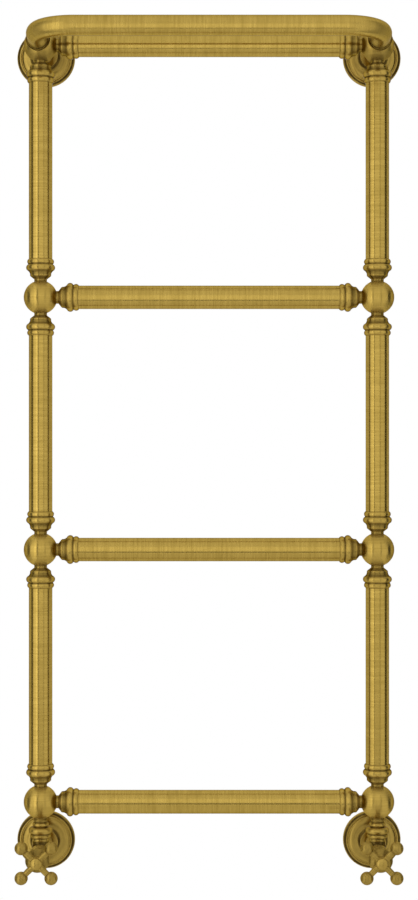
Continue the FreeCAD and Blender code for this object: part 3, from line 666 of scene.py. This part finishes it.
# Rosettes on the wall, bracket stems and inlet pipes
rosette = {
    "radius": 38.0, "edge": 4.2, "rim": (7.6, 32.2, 1.0), "shoulder": (6.7, 31.4),
    "face": [(9.0, 28.6, 0.24), (10.6, 22.6, 0.27), (15.8, 17.4, -1.34)], "top": 22.8, "bore": 10.2,
    "shell": 1.5, "sealEnds": (16.7, 18.7), "seal": 11.6, "soften": 1.7, "rings": 170, "spokes": 160,
    # Share by radius: painted shade in the cove round the collar and a dark painted shade line on the rim
    # where it meets the wall, a lighter share over the face between
    "patina": [(16.4, 0.2), (17.2, 1), (18.2, 0.9), (19.5, 0.45), (21.5, 0.3), (24.5, 0.4), (26.2, 0.2),
               (28.5, 0.15), (29.5, 0.3), (32.6, 0.1), (33.8, 0.2), (34.7, 1.2), (35.9, 1.3), (36.9, 0.5),
               (38, 0.1)],
}
stem = {
    "stub": 10.0, "stud": 6.58, "studStart": 10.88, "neckLength": 3.0, "end": 80.0, "socket": 7.1,
    "socketFloor": 61.0,
}
inlet = {
    "stub": 10.0, "pin": 7.5, "pinStart": 10.0, "bore": 5.0, "bodyRear": 17.0, "threadStart": 87.0,
    "threadEnd": 103.0, "crest": 10.48, "pitch": 1.814, "depth": 1.16, "leadIn": 2.0, "threadRows": 127,
    "threadGap": 0.2, "threadPatina": 0.8, "rings": 60, "spokes": 96,
}


def rosetteLine():
    # Rim, step, shoulder, dome and cove, then the same run back on the inside, a shell's thickness in
    sizes = rosette
    shell = sizes["shell"]
    radius, rimRadius = sizes["radius"], sizes["rim"][1]
    face = [sizes["shoulder"]] + sizes["face"]
    collarRadius = face[-1][1]
    inside = [(step[0] - shell, step[1] - shell) for step in face]
    back = [(*inside[k], -face[k + 1][2]) for k in (2, 1, 0)]
    sealStart, sealEnd = sizes["sealEnds"]
    steps = [
        (0, radius - shell), (0, radius), (sizes["edge"], radius), sizes["rim"], (face[0][0], rimRadius),
        *face, (sizes["top"], collarRadius), (sizes["top"], sizes["bore"]), (sealEnd, sizes["bore"]),
        (sealEnd, sizes["seal"]), (sealStart, sizes["seal"]), (sealStart, collarRadius - shell), inside[-1],
        *back, (inside[0][0], rimRadius - shell), (sizes["edge"], radius - shell),
    ]
    line = outline(steps, soften=sizes["soften"], count=sizes["rings"])
    # The groove share by radius: painted shade in the cove and at the rim
    return {**line, "groove": patinaAt(line["radius"], sizes["patina"]), "across": True}


def stemShell(side):
    sizes = stem
    neck = collar["neck"]
    seat = collar["seat"]
    flare = sizes["stub"] - neck
    neckEnd = seat + sizes["neckLength"]
    steps = [
        (sizes["studStart"], 0), (sizes["studStart"], sizes["stud"]), (seat, sizes["stud"]), (seat, neck),
        (neckEnd, neck), (neckEnd + flare, sizes["stub"]), (sizes["end"], sizes["stub"]),
        (sizes["end"], sizes["socket"]), (sizes["socketFloor"], sizes["socket"]), (sizes["socketFloor"], 0),
    ]
    line = outline(steps, closed=False, count=90, beside=(seat, ball["radius"]))
    return turned(line, ballPlace(side, "top"), yAxis)


def inletShells(side):
    # Outside the plain stub, the radius falls from the crest by a triangle wave of distance less turn:
    # a helix
    sizes = inlet
    stubEnd = sizes["threadStart"] - sizes["threadGap"]
    plain = outline([
        (sizes["pinStart"], sizes["bore"]), (sizes["pinStart"], sizes["pin"]),
        (sizes["bodyRear"], sizes["pin"]), (sizes["bodyRear"], sizes["stub"]), (stubEnd, sizes["stub"]),
        (stubEnd, sizes["bore"]),
    ], count=sizes["rings"])
    count = sizes["spokes"]
    rows = np.linspace(sizes["threadStart"], sizes["threadEnd"], sizes["threadRows"])
    turn = np.arange(count) / count
    wave = np.abs(((rows[:, None] / sizes["pitch"] - turn) % 1.0) * 2 - 1)
    lead = np.clip((sizes["threadEnd"] - rows) / sizes["leadIn"], 0, 1)[:, None]
    start = np.clip((rows - sizes["threadStart"]) / sizes["leadIn"], 0, 1)[:, None]
    outer = sizes["crest"] - sizes["depth"] * wave * start - (1 - lead) * sizes["depth"]
    radius = np.concatenate([outer, np.full((2, count), sizes["bore"])])
    along = np.concatenate([rows, [sizes["threadEnd"], sizes["threadStart"]]])
    spokes = around(yAxis, count)
    points = valvePlace(side) + along[:, None, None] * yAxis + radius[:, :, None] * spokes
    length = np.abs(along - along[0])
    groove = np.concatenate([wave * sizes["threadPatina"], np.ones((2, count))])
    thread = {"points": points, "length": length, "whole": length[-1], "closed": True, "groove": groove}
    return [turned(plain, valvePlace(side), yAxis), thread]


rosetteOutline = rosetteLine()
for side in sides:
    for node, z in ((f"{side}_bracket_rosette", levelZ["top"]), (f"{side}_pipe_rosette", valveZ)):
        shell = turned(rosetteOutline, wallPlace(side, z), forward, rosette["spokes"])
        addPiece(node, [shell], rosetteBrass)
addPiece("bracket_stems", [stemShell(side) for side in sides], turnedBrass)
addPiece("inlet_pipes", inletShells("left") + inletShells("right"), turnedBrass)
print("wall side made")

# Valves: tail and union nut under a ball, angle body, bell-shaped bonnet
union = {
    "neckLength": 1.2, "bead": 0.9, "beadLength": 3.9, "gapLength": 0.6, "ring": 2.15, "ringLength": 5.8,
    "shank": 8.6, "shankLength": 4.2, "flange": 11.0, "flangeLength": 3.2, "flangeStart": 35.616,
    "sealEnd": 39.616,
}
nut = {
    "start": 31.916, "hole": 8.8, "room": 11.2, "groove": 12.3, "bead": 2.9, "beadLength": 8.4,
    "gapLength": 0.4, "foot": 1.1, "footLength": 4.8, "spudBore": 10.1,
    # Patina share along the nut: patina in the groove between bead and foot; the darkening at the nut's lower
    # end, against the body's ring, is painted shade
    "patina": [(32, 0), (34, 0), (38.5, 0.1), (40.2, 0.7), (40.8, 0.7), (42, 0.1), (44.5, 0.2), (45.5, 0.8)],
}
body = {
    "radius": 12.5, "boss": 11.4, "bossEnd": -13.5, "shoulder": -12.1, "shoulderSag": 0.4, "rear": 17.0,
    "front": 20.04, "chamber": 9.0, "chamberFloor": -6.0, "inlet": 5.0, "socket": 7.62, "socketFloor": 10.0,
    "drop": 65.016, "spud": 10.0, "spudTop": 39.616, "ringStart": 45.816, "ringEnd": 49.416, "ring": 0.7,
    "fillet": 1.6, "filletSag": -0.45, "rootDepth": 2.5, "fade": 4.0, "spokes": 64,
    # Shares of painted shade on the spud under the nut: at its root, on the ring and above the ring
    "rootPaintedShade": 0.95, "ringPaintedShade": 0.25, "topPaintedShade": 0.9, "blend": (0.2, 0.5),
}
bonnet = {
    "grip": 8.9, "gripStart": 8.04, "foot": 11.8, "footStart": 20.04, "footEnd": 24.04, "footSag": 1.3,
    "skirt": 15.2, "skirtStart": 45.04, "skirtEnd": 47.04, "skirtSag": -2.2, "nose": 7.4, "noseEnd": 53.04,
    # Share along the bonnet: darker at the foot where it meets the body, painted shade there, and evenly
    # darker over skirt and nose
    "noseSag": 0.8, "bore": 5.06, "patina": [(20, 0.8), (24, 0.45), (45, 0.45), (49, 0.5), (53, 0.45)],
}


def tailShell(side):
    sizes = union
    neck = collar["neck"]
    outer = [
        (0.0, neck), (sizes["neckLength"], neck), (sizes["beadLength"], neck, sizes["bead"]),
        (sizes["gapLength"], neck), (sizes["ringLength"], sizes["shank"], sizes["ring"]),
        (sizes["shankLength"], sizes["shank"]), (0.0, sizes["flange"]),
        (sizes["flangeLength"], sizes["flange"]), (0.0, collar["water"]),
    ]
    steps = addUp(collar["seat"], outer) + nippleBore()
    line = outline(steps, soften=0.3, count=90, beside=(collar["seat"], ball["radius"]))
    return turned(line, ballPlace(side, "bottom"), -zAxis)


def nutShell(side):
    sizes = nut
    groove = sizes["groove"]
    outer = [
        (0.0, sizes["hole"]), (0.0, groove), (sizes["beadLength"], groove, sizes["bead"]),
        (sizes["gapLength"], groove), (sizes["footLength"], groove, sizes["foot"]), (0.0, sizes["spudBore"]),
    ]
    inner = [
        (union["sealEnd"], sizes["spudBore"]), (union["sealEnd"], sizes["room"]),
        (union["flangeStart"], sizes["room"]), (union["flangeStart"], sizes["hole"]),
    ]
    line = outline(addUp(sizes["start"], outer) + inner, soften=0.3, count=90, patina=sizes["patina"])
    return turned(line, ballPlace(side, "bottom"), -zAxis)


def draped(line, base, out, main, barrel, fade, segments):
    # Rings of a branch on a barrel: each point is let down by as much as the barrel falls away
    # under it, barrel minus the root of barrel squared less the offset squared, fading out above
    spokes = around(out, segments)
    across = np.cross(main, out)
    offset = line["radius"][:, None] * (spokes @ across)
    barrelRadius = barrel(line["radius"][:, None] * (spokes @ main))
    crown = barrel(np.zeros(1))
    fall = np.sqrt(np.maximum(barrelRadius**2 - offset**2, 0)) - crown
    above = np.clip((line["along"][:, None] - crown) / fade, 0, 1)
    height = line["along"][:, None] + fall * (1 - above**2 * (3 - 2 * above))
    points = base + height[:, :, None] * out + line["radius"][:, None, None] * spokes
    return {**line, "points": points}


def bodyShells(side):
    sizes = body
    radius = sizes["radius"]
    barrel = [
        (-sizes["rear"], sizes["socket"]), (-sizes["rear"], sizes["boss"]), (sizes["bossEnd"], sizes["boss"]),
        (sizes["shoulder"], radius, sizes["shoulderSag"]), (sizes["front"], radius),
        (sizes["front"], sizes["chamber"]), (sizes["chamberFloor"], sizes["chamber"]),
        (sizes["chamberFloor"], sizes["inlet"]), (-sizes["socketFloor"], sizes["inlet"]),
        (-sizes["socketFloor"], sizes["socket"]),
    ]
    flare = sizes["fillet"]
    spud = sizes["spud"]
    root = radius - sizes["rootDepth"]    # stays inside the barrel's wall
    ringFoot, ringTop, spudTop = (sizes["drop"] - sizes[key] for key in ("ringEnd", "ringStart", "spudTop"))
    branch = [
        (root, 0.0), (root, spud + flare), (radius, spud + flare),
        (radius + flare, spud, sizes["filletSag"]), (ringFoot, spud), (ringTop, spud, sizes["ring"]),
        (spudTop, spud), (spudTop, 0.0),
    ]
    off, on = sizes["blend"]              # painted shade changes from so far off the ring to so far on it
    # Painted shade along the spud under the nut: dark at its root on the barrel and above the ring, lighter
    # on the ring
    patina = [
        (ringFoot - off, sizes["rootPaintedShade"]), (ringFoot + on, sizes["ringPaintedShade"]),
        (ringTop - on, sizes["ringPaintedShade"]), (ringTop + off, sizes["topPaintedShade"]),
    ]
    centre = valvePlace(side)
    line = outline(branch, closed=False, soften=0.3, count=90, patina=patina)

    def barrelRadius(offset):
        return np.full_like(offset, radius)

    return [{**turned(outline(barrel, count=90), centre, forward), "across": True},
            draped(line, centre, zAxis, yAxis, barrelRadius, sizes["fade"], sizes["spokes"])]


def bonnetShell(side):
    sizes = bonnet
    steps = [
        (sizes["gripStart"], sizes["bore"]), (sizes["gripStart"], sizes["grip"]),
        (sizes["footStart"], sizes["grip"]), (sizes["footStart"], sizes["foot"]),
        (sizes["footEnd"], sizes["foot"], sizes["footSag"]),
        (sizes["skirtStart"], sizes["skirt"], sizes["skirtSag"]), (sizes["skirtEnd"], sizes["skirt"]),
        (sizes["noseEnd"], sizes["nose"], sizes["noseSag"]), (sizes["noseEnd"], sizes["bore"]),
    ]
    line = outline(steps, patina=sizes["patina"])
    return {**turned(line, valvePlace(side), forward), "across": True}


addPiece("valve_tails", [tailShell(side) for side in sides], shadedUnionBrass)
addPiece("union_nuts", [nutShell(side) for side in sides], shadedUnionBrass)
for side in sides:
    addPiece(f"{side}_valve_body", bodyShells(side), turnedBrass)
    addPiece(f"{side}_bonnet", [bonnetShell(side)], turnedBrass)
print("valves made")

# Cross handles: bulged hub, four diagonal arms with knobs, domed cap
hub = {
    "back": 53.84, "front": 68.84, "backRadius": 6.9, "frontRadius": 7.0, "bulge": 0.3, "bore": 4.1,
    "stemEnd": 66.34, "stud": 2.0,
}
arm = {
    "set": 8.4, "reach": 26.3, "root": 4.0, "tip": 3.8, "knob": 8.3, "fillet": 0.9, "filletSag": -0.26,
    "rootDepth": 1.2, "fade": 3.0, "spokes": 56,
    "patina": [(7, 0.15), (12, 0.2), (17, 0.15), (19, 0.4), (20.5, 0.2), (24, 0.22), (35, 0.22)],
}
cap = {"dome": 2.6, "studLength": 8.0, "studGap": 0.1, "spokes": 72}


def hubShell(side):
    sizes = hub
    steps = [
        (sizes["back"], sizes["bore"]), (sizes["back"], sizes["backRadius"]),
        (sizes["front"], sizes["frontRadius"], sizes["bulge"]), (sizes["front"], sizes["stud"]),
        (sizes["stemEnd"], sizes["stud"]), (sizes["stemEnd"], sizes["bore"]),
    ]
    return {**turned(outline(steps, count=80), valvePlace(side), forward), "across": True}


def armShells(side):
    sizes = arm
    sideSteps = [(hub["back"], hub["backRadius"]), (hub["front"], hub["frontRadius"], hub["bulge"])]
    hubSide = outline(sideSteps, closed=False, soften=0.06, count=40)
    plane = hub["back"] + sizes["set"]

    def hubRadius(offset):
        return np.interp(plane + offset, hubSide["along"], hubSide["radius"])

    rise = float(hubRadius(0.0))
    foot = rise - sizes["rootDepth"]      # stays inside the hub's wall
    knob = sizes["knob"]
    knobStart = sizes["reach"] - np.sqrt(knob**2 - sizes["tip"]**2)
    tip = sizes["reach"] + knob
    sag = arcSag(knob, np.hypot(tip - knobStart, sizes["tip"]))
    wide = sizes["root"] + sizes["fillet"]
    steps = [
        (foot, 0.0), (foot, wide), (rise, wide), (rise + sizes["fillet"], sizes["root"], sizes["filletSag"]),
        (knobStart, sizes["tip"]), (tip, 0.0, sag),
    ]
    line = outline(steps, closed=False, soften=0.3, count=90, patina=sizes["patina"])
    base = valvePlace(side) + plane * forward
    outs = [(x * xAxis + z * zAxis) / np.sqrt(2) for x in (-1, 1) for z in (-1, 1)]
    shells = [draped(line, base, out, forward, hubRadius, sizes["fade"], sizes["spokes"]) for out in outs]
    return [{**shell, "across": True} for shell in shells]


def capShell(side):
    sizes = cap
    radius, front = hub["frontRadius"], hub["front"]
    dome = sizes["dome"]
    sag = arcSag((radius**2 + dome**2) / (2 * dome), np.hypot(radius, dome))
    stud = hub["stud"] - sizes["studGap"]
    studEnd = front - sizes["studLength"]
    steps = [(studEnd, 0.0), (studEnd, stud), (front, stud), (front, radius), (front + dome, 0.0, sag)]
    line = outline(steps, closed=False, soften=0.3, count=70)
    return {**turned(line, valvePlace(side), forward, sizes["spokes"]), "across": True}


for side in sides:
    rides = f"{side}_valve_handle"
    addPiece(f"{side}_handle_hub", [hubShell(side)], hubBrass, rides)
    addPiece(f"{side}_handle_arms", armShells(side), handleBrass, rides)
    addPiece(f"{side}_handle_cap", [capShell(side)], hubBrass, rides)
print("handles made")

# Air bleed on the right top ball
bleed = {
    "flats": 11.0, "cornerCut": 0.15, "head": 4.0, "foot": 10.9, "thread": 4.86, "bore": 2.46, "chamfer": 0.5,
    "screw": 2.4, "screwFoot": 13.56, "key": 3.2, "keyCorner": 1.3, "keyTip": 0.8, "keyLength": 4.0,
    "keyRound": 0.35, "spokes": 96, "grainStep": 0.5, "grainEnd": 1.0, "patina": 0.2, "crispAngle": 0.6,
}
bleedAngles = turnAngles(bleed["spokes"])
bleedTop = ball["bleedFlat"] + bleed["head"]


def polygonRadius(angle, flats, count):
    # Distance from the middle of a regular polygon to its side, at an angle
    share = 2 * np.pi / count
    return flats / 2 / np.cos((angle + share / 2) % share - share / 2)


def ringShell(rows, closed):
    # A ring for each (distance, radius) row, where the radius is one number or one for each spoke
    along = np.array([row[0] for row in rows])
    radius = np.stack([np.broadcast_to(row[1], bleedAngles.shape) for row in rows])
    spokes = around(zAxis, bleed["spokes"])
    points = ballPlace("right", "top") + along[:, None, None] * zAxis + radius[:, :, None] * spokes
    length = runningTotal(np.abs(np.diff(along)) + bleed["grainStep"])
    groove = np.full(len(rows), bleed["patina"])
    whole = length[-1] + bleed["grainEnd"]
    return {"points": points, "length": length, "whole": whole, "closed": closed, "groove": groove}


def plugShell():
    # Hexagon whose corners are cut by a cone at both ends of the head
    sizes = bleed
    side = polygonRadius(bleedAngles, sizes["flats"], 6)
    cut = np.minimum(side, sizes["flats"] / 2 + sizes["cornerCut"])
    flat = ball["bleedFlat"]
    rows = [
        (sizes["foot"], sizes["bore"]), (sizes["foot"], sizes["thread"]), (flat, sizes["thread"]),
        (flat, cut), (flat + sizes["chamfer"], side), (bleedTop - sizes["chamfer"], side), (bleedTop, cut),
        (bleedTop, sizes["bore"]),
    ]
    return ringShell(rows, closed=True)


def screwShell():
    # Round shank and a square key, each ring's radius a circle's or a rounded square's
    sizes = bleed
    key = np.minimum(polygonRadius(bleedAngles, sizes["key"], 4), sizes["key"] / 2 * sizes["keyCorner"])
    tip = bleedTop + sizes["keyLength"]
    rows = [
        (sizes["screwFoot"], 0.0), (sizes["screwFoot"], sizes["screw"]), (bleedTop, sizes["screw"]),
        (bleedTop, key), (tip - sizes["keyRound"], key), (tip, key * sizes["keyTip"]), (tip, 0.0),
    ]
    return ringShell(rows, closed=False)


def flatSides(piece):
    # Faces that meet at more than the crisp angle, in radians, keep a sharp edge
    piece.data.set_sharp_from_angle(angle=bleed["crispAngle"])


flatSides(addPiece("bleed_plug", [plugShell()], turnedBrass))
flatSides(addPiece("bleed_screw", [screwShell()], turnedBrass, "bleed_screw"))
print("air bleed made")

# Hidden pieces keep their solids and get a finish
innerNodes = {
    "wall_plates": plainBrass, "joint_nipples": plainBrass, "joint_seals": sealRubber,
    "bracket_grub_screws": screwSteel,
}
for side in sides:
    innerNodes |= {f"{side}_jumper": plainBrass, f"{side}_valve_stem": plainBrass}
    innerNodes[f"{side}_seat_washer"] = sealRubber
for node, finish in innerNodes.items():
    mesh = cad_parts[node].data
    mesh.materials.clear()
    mesh.materials.append(finish)
print("hidden pieces finished")

# Studio: white surround, soft lamps at the front and sides, grey cards that give the brass its bands
studio = {
    "worldSeen": 1.0, "worldLight": 0.85, "floorGap": 250.0, "floorFade": (350.0, 850.0), "floorSpokes": 96,
    "floorColour": (0.88, 0.875, 0.86), "floorRough": 0.7, "floorInMetal": 1.0,
}
white = (1, 1, 1, 1)


def setWorld():
    # White where the camera, metal or glass looks at it, dimmer as a light on matt surfaces
    world = bpy.data.worlds.new("surround")
    scene.world = world
    world.use_nodes = True
    tree = world.node_tree
    tree.nodes.clear()
    path = addNode(tree, "ShaderNodeLightPath")
    seen = sumUp(tree, "MAXIMUM", path.outputs["Is Camera Ray"], path.outputs["Is Glossy Ray"])
    seen = sumUp(tree, "MAXIMUM", seen, path.outputs["Is Transmission Ray"])
    dim = addNode(tree, "ShaderNodeBackground", {"Color": white, "Strength": studio["worldLight"]})
    bright = addNode(tree, "ShaderNodeBackground", {"Color": white, "Strength": studio["worldSeen"]})
    mixed = addNode(tree, "ShaderNodeMixShader", {0: seen, 1: dim.outputs[0], 2: bright.outputs[0]})
    addNode(tree, "ShaderNodeOutputWorld", {0: mixed.outputs[0]})


lamps = {
    "leftLamp": {"place": (-1450, -935, -420), "target": (0, -935, -420), "size": (830, 1900), "level": 0.45},
    "cornerLamp": {
        "place": (-1080, -1420, -420), "target": (-1080, 0, -420), "size": (740, 2700), "level": 0.95,
    },
    "frontLamp": {"place": (50, -1420, -420), "target": (50, 0, -420), "size": (1220, 980), "level": 0.28},
}
cards = {
    "leftDark": {"place": (-900, -130, -500), "target": (0, -130, -500), "size": (310, 2400), "shade": 0.15},
    "rightDark": {"place": (900, -135, -500), "target": (0, -135, -500), "size": (315, 2400), "shade": 0.05},
    "leftBack": {"place": (-1500, 780, -500), "target": (0, 780, -500), "size": (1440, 2400), "shade": 0.80},
    "rightBack": {"place": (1500, 790, -500), "target": (0, 790, -500), "size": (1420, 2400), "shade": 0.75},
    "leftGap": {"place": (-582, -1165, -500), "target": (-582, 0, -500), "size": (215, 2400), "shade": 0.30},
    "rightGap": {"place": (740, -1400, -500), "target": (740, 0, -500), "size": (150, 2400), "shade": 0.30},
    "lowGap": {"place": (50, -1310, -1180), "target": (50, 0, -1180), "size": (1230, 210), "shade": 0.03},
    "ceiling": {"place": (0, 700, 1000), "target": (0, 700, 0), "size": (3000, 2200), "shade": 0.95},
}


def standUp(thing, sizes):
    # At its place, with its own -Z towards its target, and not seen by the camera
    look = Vector(np.subtract(sizes["target"], sizes["place"]))
    thing.location = np.array(sizes["place"]) / metre
    thing.rotation_euler = look.to_track_quat("-Z", "Y").to_euler()
    thing.visible_camera = False
    scene.collection.objects.link(thing)


def addLamp(name, sizes):
    data = bpy.data.lights.new(name, "AREA")
    data.shape = "RECTANGLE"
    data.size, data.size_y = (side / metre for side in sizes["size"])
    data.energy = sizes["level"] * np.pi * data.size * data.size_y    # level is the panel's own brightness
    standUp(bpy.data.objects.new(name, data), sizes)


def addCard(name, sizes):
    half = np.array(sizes["size"]) / 2 / metre
    corners = [(x * half[0], y * half[1], 0) for x, y in ((-1, -1), (1, -1), (1, 1), (-1, 1))]
    mesh = bpy.data.meshes.new(name)
    mesh.from_pydata(corners, [], [(0, 1, 2, 3)])
    paint, tree, shader = newFinish(name)
    tree.nodes.remove(shader)
    glow = addNode(tree, "ShaderNodeEmission", {"Color": white, "Strength": sizes["shade"]})
    tree.links.new(glow.outputs[0], tree.nodes["Material Output"].inputs["Surface"])
    mesh.materials.append(paint)
    card = bpy.data.objects.new(name, mesh)
    standUp(card, sizes)
    card.visible_diffuse = False
    card.visible_shadow = False


def addFloor():
    # Pale round floor under the rail that fades into the white surround at its edge
    low = cadBox[0][2] * metre - studio["floorGap"]
    inner, outer = (end / metre for end in studio["floorFade"])
    angle = turnAngles(studio["floorSpokes"])
    rim = np.stack([np.cos(angle), np.sin(angle), np.zeros_like(angle)], axis=1) * outer
    mesh = bpy.data.meshes.new("floor")
    mesh.from_pydata(rim.tolist(), [], [tuple(range(len(angle)))])
    paint, tree, shader = newFinish("floor")
    place = addNode(tree, "ShaderNodeTexCoord")
    away = addNode(tree, "ShaderNodeVectorMath", {0: place.outputs["Object"]}, operation="LENGTH")
    fade = mapRange(tree, away.outputs["Value"], (inner, outer), (1.0, 0.0), interpolation_type="SMOOTHSTEP")
    colour = (*studio["floorColour"], 1)
    setSockets(tree, shader, {"Base Color": colour, "Roughness": studio["floorRough"], "Alpha": fade})
    path = addNode(tree, "ShaderNodeLightPath")
    glow = addNode(tree, "ShaderNodeEmission", {"Color": colour, "Strength": studio["floorInMetal"]})
    mixed = addNode(tree, "ShaderNodeMixShader", {
        0: path.outputs["Is Glossy Ray"], 1: shader.outputs[0], 2: glow.outputs[0],
    })
    tree.links.new(mixed.outputs[0], tree.nodes["Material Output"].inputs["Surface"])
    mesh.materials.append(paint)
    floor = bpy.data.objects.new("floor", mesh)
    floor.location = (0, postY / metre, low / metre)
    scene.collection.objects.link(floor)


setWorld()
for name, sizes in lamps.items():
    addLamp(name, sizes)
for name, sizes in cards.items():
    addCard(name, sizes)
addFloor()
scene.view_settings.view_transform = "Standard"
print("studio set")

print("pieces made:", len(pieces))
